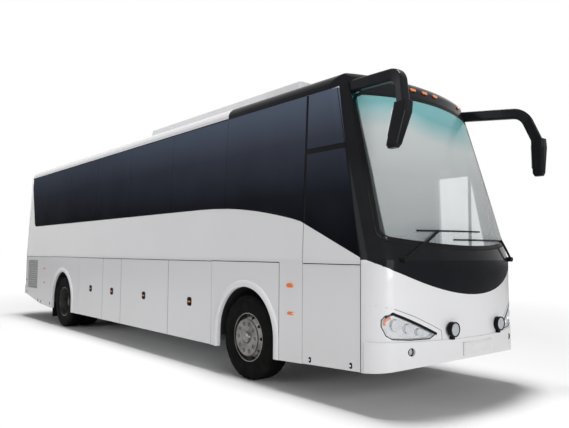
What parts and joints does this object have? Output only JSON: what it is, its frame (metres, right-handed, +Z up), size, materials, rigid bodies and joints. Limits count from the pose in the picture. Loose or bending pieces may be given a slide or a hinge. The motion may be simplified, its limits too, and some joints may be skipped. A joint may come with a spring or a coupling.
{
  "type": "coach bus",
  "caption": "Full-size touring coach with flush side glazing, top-hinged luggage flaps, an outward swinging passenger door, steered front wheels and twin rear wheels.",
  "frame": {"origin": "on the ground at the centre of the overall bounding box", "axes": "+X forward in the direction of travel, +Y to the vehicle's left, +Z up from the ground"},
  "size_m": [11.782, 2.848, 3.835],
  "materials": {
    "body_white": "gloss",
    "body_dark": "gloss",
    "tinted_glass": "gloss",
    "clear_glass": "gloss",
    "lamp_housing": "gloss",
    "amber_lamp": "gloss",
    "red_lamp": "gloss",
    "black_plastic": "satin",
    "grey_plastic": "satin",
    "floor_covering": "matte",
    "chassis_black": "satin",
    "cast_black": "satin",
    "engine_iron": "satin",
    "bay_aluminium": "satin",
    "wheel_metal": "satin",
    "seat_fabric": "matte",
    "tyre": "matte"
  },
  "bodies": {
    "coach": {"dashboard": "black_plastic", "engine_block": "engine_iron", "floors": "floor_covering", "front_axle": "cast_black", "front_bumper": "body_white", "front_lamps": "lamp_housing", "front_mask": "body_white", "front_panel": "body_dark", "hinge_rails": "bay_aluminium", "lamp_lenses": "clear_glass", "luggage_bays": "bay_aluminium", "luggage_racks": "grey_plastic", "marker_lamps": "amber_lamp", "mirrors": "body_dark", "rear_axle": "cast_black", "rear_bumper": "body_white", "rear_wall": "body_white", "roof": "body_white", "roof_front_cap": "body_dark", "roof_pod": "body_white", "seats": "seat_fabric", "skirt_left": "body_white", "skirt_right": "body_white", "tail_lamps": "red_lamp", "underframe": "chassis_black", "wall_left": "body_white", "wall_right": "body_white", "wheel_housings": "chassis_black", "window_glass": "tinted_glass", "windscreen": "clear_glass", "windscreen_frame": "body_dark", "wipers": "black_plastic"},
    "bay_door_left_1": {"bay_door_left_1": "body_white"},
    "bay_door_left_2": {"bay_door_left_2": "body_white"},
    "bay_door_left_3": {"bay_door_left_3": "body_white"},
    "bay_door_left_4": {"bay_door_left_4": "body_white"},
    "rear_flap_left": {"rear_flap_left": "body_white"},
    "knuckle_left": {"knuckle_left": "cast_black"},
    "front_wheel_left": {"tyre_front_left": "tyre", "rim_front_left": "wheel_metal"},
    "rear_wheels_left": {"tyres_rear_left": "tyre", "rims_rear_left": "wheel_metal"},
    "bay_door_right_1": {"bay_door_right_1": "body_white"},
    "bay_door_right_2": {"bay_door_right_2": "body_white"},
    "bay_door_right_3": {"bay_door_right_3": "body_white"},
    "bay_door_right_4": {"bay_door_right_4": "body_white"},
    "rear_flap_right": {"rear_flap_right": "body_white"},
    "knuckle_right": {"knuckle_right": "cast_black"},
    "front_wheel_right": {"tyre_front_right": "tyre", "rim_front_right": "wheel_metal"},
    "rear_wheels_right": {"tyres_rear_right": "tyre", "rims_rear_right": "wheel_metal"},
    "service_flap": {"service_flap": "body_white"},
    "engine_lid": {"engine_lid": "body_white"},
    "door_arm": {"door_arm": "chassis_black"},
    "door_leaf": {"door_leaf": "body_white", "door_glass": "tinted_glass"},
    "tie_rod": {"tie_rod": "cast_black"},
    "steering_wheel": {"steering_wheel": "black_plastic"}
  },
  "joints": [
    {"name": "bay_door_left_1_hinge", "type": "hinge", "parent": "coach", "child": "bay_door_left_1", "pos_m": [-1.658, 1.244, 1.443], "axis": [1, 0, 0], "range_deg": [0, 80]},
    {"name": "bay_door_left_2_hinge", "type": "hinge", "parent": "coach", "child": "bay_door_left_2", "pos_m": [-0.679, 1.244, 1.443], "axis": [1, 0, 0], "range_deg": [0, 80]},
    {"name": "bay_door_left_3_hinge", "type": "hinge", "parent": "coach", "child": "bay_door_left_3", "pos_m": [0.542, 1.244, 1.443], "axis": [1, 0, 0], "range_deg": [0, 80]},
    {"name": "bay_door_left_4_hinge", "type": "hinge", "parent": "coach", "child": "bay_door_left_4", "pos_m": [1.9675, 1.244, 1.443], "axis": [1, 0, 0], "range_deg": [0, 80]},
    {"name": "rear_flap_left_hinge", "type": "hinge", "parent": "coach", "child": "rear_flap_left", "pos_m": [-4.792, 1.244, 1.443], "axis": [1, 0, 0], "range_deg": [0, 80]},
    {"name": "bay_door_right_1_hinge", "type": "hinge", "parent": "coach", "child": "bay_door_right_1", "pos_m": [-1.658, -1.244, 1.443], "axis": [-1, 0, 0], "range_deg": [0, 80]},
    {"name": "bay_door_right_2_hinge", "type": "hinge", "parent": "coach", "child": "bay_door_right_2", "pos_m": [-0.679, -1.244, 1.443], "axis": [-1, 0, 0], "range_deg": [0, 80]},
    {"name": "bay_door_right_3_hinge", "type": "hinge", "parent": "coach", "child": "bay_door_right_3", "pos_m": [0.542, -1.244, 1.443], "axis": [-1, 0, 0], "range_deg": [0, 80]},
    {"name": "bay_door_right_4_hinge", "type": "hinge", "parent": "coach", "child": "bay_door_right_4", "pos_m": [1.9675, -1.244, 1.443], "axis": [-1, 0, 0], "range_deg": [0, 80]},
    {"name": "rear_flap_right_hinge", "type": "hinge", "parent": "coach", "child": "rear_flap_right", "pos_m": [-4.792, -1.244, 1.443], "axis": [-1, 0, 0], "range_deg": [0, 80]},
    {"name": "service_flap_hinge", "type": "hinge", "parent": "coach", "child": "service_flap", "pos_m": [4.812, -1.244, 1.443], "axis": [-1, 0, 0], "range_deg": [0, 80]},
    {"name": "engine_lid_hinge", "type": "hinge", "parent": "coach", "child": "engine_lid", "pos_m": [-5.873, 0, 1.49], "axis": [0, 1, 0], "range_deg": [0, 80]},
    {"name": "door_arm_pivot", "type": "hinge", "parent": "coach", "child": "door_arm", "pos_m": [4.971, 1.125, 0.9], "axis": [0, 0, -1], "range_deg": [0, 140]},
    {"name": "door_leaf_pivot", "type": "hinge", "parent": "door_arm", "child": "door_leaf", "pos_m": [4.531, 1.125, 0.9], "axis": [0, 0, -1], "range_deg": [-140, 0]},
    {"name": "steer_left", "type": "hinge", "parent": "coach", "child": "knuckle_left", "pos_m": [3.311, 0.985, 0.522], "axis": [0, 0, 1], "range_deg": [-36, 36]},
    {"name": "steer_right", "type": "hinge", "parent": "coach", "child": "knuckle_right", "pos_m": [3.311, -0.985, 0.522], "axis": [0, 0, 1], "range_deg": [-36, 36]},
    {"name": "tie_rod_pivot", "type": "hinge", "parent": "knuckle_left", "child": "tie_rod", "pos_m": [3.151, 0.985, 0.37], "axis": [0, 0, 1], "range_deg": [-36, 36]},
    {"name": "front_wheel_left_spin", "type": "hinge", "parent": "knuckle_left", "child": "front_wheel_left", "pos_m": [3.311, 1.062, 0.522], "axis": [0, 1, 0], "continuous": true},
    {"name": "front_wheel_right_spin", "type": "hinge", "parent": "knuckle_right", "child": "front_wheel_right", "pos_m": [3.311, -1.062, 0.522], "axis": [0, 1, 0], "continuous": true},
    {"name": "rear_wheels_left_spin", "type": "hinge", "parent": "coach", "child": "rear_wheels_left", "pos_m": [-3.189, 0.8945, 0.522], "axis": [0, 1, 0], "continuous": true},
    {"name": "rear_wheels_right_spin", "type": "hinge", "parent": "coach", "child": "rear_wheels_right", "pos_m": [-3.189, -0.8945, 0.522], "axis": [0, 1, 0], "continuous": true},
    {"name": "steering_wheel_spin", "type": "hinge", "parent": "coach", "child": "steering_wheel", "pos_m": [5.101, -0.62, 1.56], "axis": [-0.4819, 0, 0.8762], "range_deg": [-648, 648]}
  ],
  "couplings": [
    {"joint": "door_leaf_pivot", "follows": "door_arm_pivot", "ratio": -1},
    {"joint": "steer_right", "follows": "steer_left", "ratio": 1},
    {"joint": "tie_rod_pivot", "follows": "steer_left", "ratio": -1},
    {"joint": "steering_wheel_spin", "follows": "steer_left", "ratio": 18}
  ]
}
